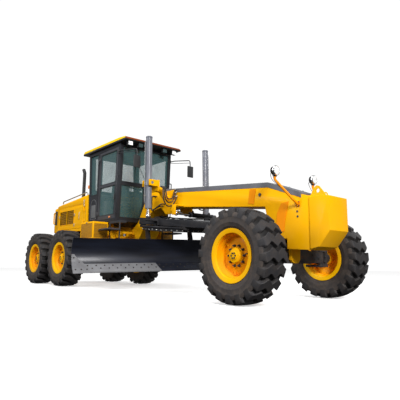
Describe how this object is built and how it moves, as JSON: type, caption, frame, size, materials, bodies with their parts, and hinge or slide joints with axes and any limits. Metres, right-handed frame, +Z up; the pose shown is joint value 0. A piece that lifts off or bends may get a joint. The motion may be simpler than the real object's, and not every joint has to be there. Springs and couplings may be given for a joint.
{
  "type": "motor grader",
  "caption": "Articulated motor grader with a glazed cab, boom-shaped front frame, drawbar, turning circle and a long curved blade.",
  "frame": {"origin": "on the ground, at the middle of the machine's length and width", "axes": "+X forward, +Y to the machine's left, +Z up"},
  "size_m": [8.81, 4.2331, 3.2941],
  "materials": {
    "yellow_paint": "satin",
    "dark_paint": "satin",
    "black_blade_paint": "glossy",
    "grey_paint": "satin",
    "edge_steel": "worn",
    "rod_chrome": "polished",
    "tyre_rubber": "matt",
    "cab_glass": "tinted",
    "seat_cover": "matt",
    "cab_plastic": "matt",
    "engine_iron": "rough"
  },
  "bodies": {
    "chassis": {"rear_frame": "yellow_paint", "tandem_axle": "yellow_paint", "engine_block": "engine_iron", "engine_hood": "yellow_paint", "radiator_housing": "yellow_paint", "exhaust": "dark_paint", "guard_rails": "yellow_paint", "cab_frame": "dark_paint", "cab_glass": "cab_glass", "cab_roof": "yellow_paint", "driver_seat": "seat_cover", "steering_console": "cab_plastic", "cab_fittings": "dark_paint", "cab_steps": "dark_paint"},
    "front_frame": {"main_frame": "yellow_paint", "frame_cover": "grey_paint", "push_block": "yellow_paint", "head_lamps": "dark_paint", "blade_saddle": "yellow_paint", "front_axle_beam": "dark_paint", "frame_hoses": "cab_plastic"},
    "hitch_rod_left": {"hitch_rod_left": "rod_chrome"},
    "hitch_rod_right": {"hitch_rod_right": "rod_chrome"},
    "lean_left": {"lean_support_left": "dark_paint"},
    "knuckle_left": {"steering_knuckle_left": "dark_paint"},
    "lean_right": {"lean_support_right": "dark_paint"},
    "knuckle_right": {"steering_knuckle_right": "dark_paint"},
    "lean_bar": {"lean_bar": "dark_paint"},
    "tie_rod": {"tie_rod": "dark_paint"},
    "wheel_front_left": {"rim_front_left": "yellow_paint", "tyre_front_left": "tyre_rubber"},
    "wheel_front_right": {"rim_front_right": "yellow_paint", "tyre_front_right": "tyre_rubber"},
    "wheel_middle_left": {"rim_middle_left": "yellow_paint", "tyre_middle_left": "tyre_rubber"},
    "wheel_middle_right": {"rim_middle_right": "yellow_paint", "tyre_middle_right": "tyre_rubber"},
    "wheel_rear_left": {"rim_rear_left": "yellow_paint", "tyre_rear_left": "tyre_rubber"},
    "wheel_rear_right": {"rim_rear_right": "yellow_paint", "tyre_rear_right": "tyre_rubber"},
    "ball": {"drawbar_ball": "edge_steel"},
    "drawbar": {"drawbar": "dark_paint"},
    "swing_rod": {"swing_rod": "rod_chrome"},
    "lift_barrel_left": {"lift_barrel_left": "grey_paint"},
    "lift_rod_left": {"lift_rod_left": "rod_chrome"},
    "lift_barrel_right": {"lift_barrel_right": "grey_paint"},
    "lift_rod_right": {"lift_rod_right": "rod_chrome"},
    "circle": {"circle": "dark_paint"},
    "carrier": {"blade_carrier": "dark_paint", "blade_shift_barrel": "grey_paint"},
    "blade": {"moldboard": "black_blade_paint", "cutting_edge": "edge_steel", "blade_shift_rod": "rod_chrome"},
    "cab_door_left": {"cab_door_left": "dark_paint", "door_glass_left": "cab_glass"},
    "cab_door_right": {"cab_door_right": "dark_paint", "door_glass_right": "cab_glass"},
    "hatch_left": {"engine_hatch_left": "yellow_paint"},
    "hatch_right": {"engine_hatch_right": "yellow_paint"}
  },
  "joints": [
    {"name": "articulation", "type": "hinge", "parent": "chassis", "child": "front_frame", "pos_m": [-0.6, 0, 1], "axis": [0, 0, -1], "range_deg": [-27, 27]},
    {"name": "hitch_slide_left", "type": "slide", "parent": "chassis", "child": "hitch_rod_left", "axis": [1, 0, 0], "range_m": [-0.19, 0.19]},
    {"name": "hitch_slide_right", "type": "slide", "parent": "chassis", "child": "hitch_rod_right", "axis": [1, 0, 0], "range_m": [-0.19, 0.19]},
    {"name": "lean_left_joint", "type": "hinge", "parent": "front_frame", "child": "lean_left", "pos_m": [3.54, 0.7, 0.655], "axis": [1, 0, 0], "range_deg": [-17, 17]},
    {"name": "steer_left_joint", "type": "hinge", "parent": "lean_left", "child": "knuckle_left", "pos_m": [3.54, 0.86, 0.655], "axis": [0, 0, 1], "range_deg": [-45, 45]},
    {"name": "lean_right_joint", "type": "hinge", "parent": "front_frame", "child": "lean_right", "pos_m": [3.54, -0.7, 0.655], "axis": [1, 0, 0], "range_deg": [-17, 17]},
    {"name": "steer_right_joint", "type": "hinge", "parent": "lean_right", "child": "knuckle_right", "pos_m": [3.54, -0.86, 0.655], "axis": [0, 0, 1], "range_deg": [-45, 45]},
    {"name": "lean_bar_slide", "type": "slide", "parent": "front_frame", "child": "lean_bar", "axis": [0, 1, 0], "range_m": [-0.08, 0.08]},
    {"name": "tie_rod_slide", "type": "slide", "parent": "front_frame", "child": "tie_rod", "axis": [0, 1, 0], "range_m": [-0.15, 0.15]},
    {"name": "wheel_front_left_spin", "type": "hinge", "parent": "knuckle_left", "child": "wheel_front_left", "pos_m": [3.54, 1.0775, 0.655], "axis": [0, 1, 0], "continuous": true},
    {"name": "wheel_front_right_spin", "type": "hinge", "parent": "knuckle_right", "child": "wheel_front_right", "pos_m": [3.54, -1.0775, 0.655], "axis": [0, 1, 0], "continuous": true},
    {"name": "wheel_middle_left_spin", "type": "hinge", "parent": "chassis", "child": "wheel_middle_left", "pos_m": [-2.09, 1.0775, 0.655], "axis": [0, 1, 0], "continuous": true},
    {"name": "wheel_middle_right_spin", "type": "hinge", "parent": "chassis", "child": "wheel_middle_right", "pos_m": [-2.09, -1.0775, 0.655], "axis": [0, 1, 0], "continuous": true},
    {"name": "wheel_rear_left_spin", "type": "hinge", "parent": "chassis", "child": "wheel_rear_left", "pos_m": [-3.63, 1.0775, 0.655], "axis": [0, 1, 0], "continuous": true},
    {"name": "wheel_rear_right_spin", "type": "hinge", "parent": "chassis", "child": "wheel_rear_right", "pos_m": [-3.63, -1.0775, 0.655], "axis": [0, 1, 0], "continuous": true},
    {"name": "drawbar_swing", "type": "hinge", "parent": "front_frame", "child": "ball", "pos_m": [3.18, 0, 1.05], "axis": [0, 0, -1], "range_deg": [-8, 8]},
    {"name": "drawbar_lift", "type": "hinge", "parent": "ball", "child": "drawbar", "pos_m": [3.18, 0, 1.05], "axis": [0, 1, 0], "range_deg": [-21, 1.2]},
    {"name": "swing_rod_slide", "type": "slide", "parent": "drawbar", "child": "swing_rod", "axis": [0, 1, 0], "range_m": [-0.28, 0.28]},
    {"name": "lift_tilt_left", "type": "hinge", "parent": "front_frame", "child": "lift_barrel_left", "pos_m": [0.81, 0.75, 2.09], "axis": [1, 0, 0], "range_deg": [-17.5, 17.5]},
    {"name": "lift_stroke_left", "type": "slide", "parent": "lift_barrel_left", "child": "lift_rod_left", "axis": [0.0262, 0, -0.9997], "range_m": [-0.06, 0.88]},
    {"name": "lift_tilt_right", "type": "hinge", "parent": "front_frame", "child": "lift_barrel_right", "pos_m": [0.81, -0.75, 2.09], "axis": [1, 0, 0], "range_deg": [-17.5, 17.5]},
    {"name": "lift_stroke_right", "type": "slide", "parent": "lift_barrel_right", "child": "lift_rod_right", "axis": [0.0262, 0, -0.9997], "range_m": [-0.06, 0.88]},
    {"name": "circle_turn", "type": "hinge", "parent": "drawbar", "child": "circle", "pos_m": [0.84, 0, 1.29], "axis": [0.1019, -0.0418, 0.9939], "range_deg": [-32, 52]},
    {"name": "blade_tip", "type": "hinge", "parent": "circle", "child": "carrier", "pos_m": [0.60223, 0.05878, 0.61257], "axis": [0.1769, 0.9839, 0.0233], "range_deg": [-15, 27]},
    {"name": "blade_shift", "type": "slide", "parent": "carrier", "child": "blade", "axis": [-0.1769, -0.9839, -0.0233], "range_m": [-0.67, 0.67]},
    {"name": "cab_door_left_hinge", "type": "hinge", "parent": "chassis", "child": "cab_door_left", "pos_m": [-1.34, 0.716, 2.3], "axis": [0, 0, 1], "range_deg": [0, 90]},
    {"name": "cab_door_right_hinge", "type": "hinge", "parent": "chassis", "child": "cab_door_right", "pos_m": [-1.34, -0.716, 2.3], "axis": [0, 0, -1], "range_deg": [0, 90]},
    {"name": "hatch_left_hinge", "type": "hinge", "parent": "chassis", "child": "hatch_left", "pos_m": [-2.07, 0.706, 1.8], "axis": [0, 0, -1], "range_deg": [0, 95]},
    {"name": "hatch_right_hinge", "type": "hinge", "parent": "chassis", "child": "hatch_right", "pos_m": [-2.07, -0.706, 1.8], "axis": [0, 0, 1], "range_deg": [0, 95]}
  ],
  "couplings": [
    {"joint": "hitch_slide_left", "follows": "articulation", "m_per_rad": 0.385},
    {"joint": "hitch_slide_right", "follows": "articulation", "m_per_rad": -0.385},
    {"joint": "lean_right_joint", "follows": "lean_left_joint", "ratio": 1},
    {"joint": "steer_right_joint", "follows": "steer_left_joint", "ratio": 1},
    {"joint": "lean_bar_slide", "follows": "lean_left_joint", "m_per_rad": -0.2325},
    {"joint": "tie_rod_slide", "follows": "steer_left_joint", "m_per_rad": -0.155},
    {"joint": "swing_rod_slide", "follows": "drawbar_swing", "m_per_rad": -1.98},
    {"joint": "lift_tilt_left", "follows": "drawbar_swing", "ratio": 2.1},
    {"joint": "lift_stroke_left", "follows": "drawbar_lift", "m_per_rad": -2.3},
    {"joint": "lift_tilt_right", "follows": "drawbar_swing", "ratio": 2.1},
    {"joint": "lift_stroke_right", "follows": "drawbar_lift", "m_per_rad": -2.3}
  ]
}
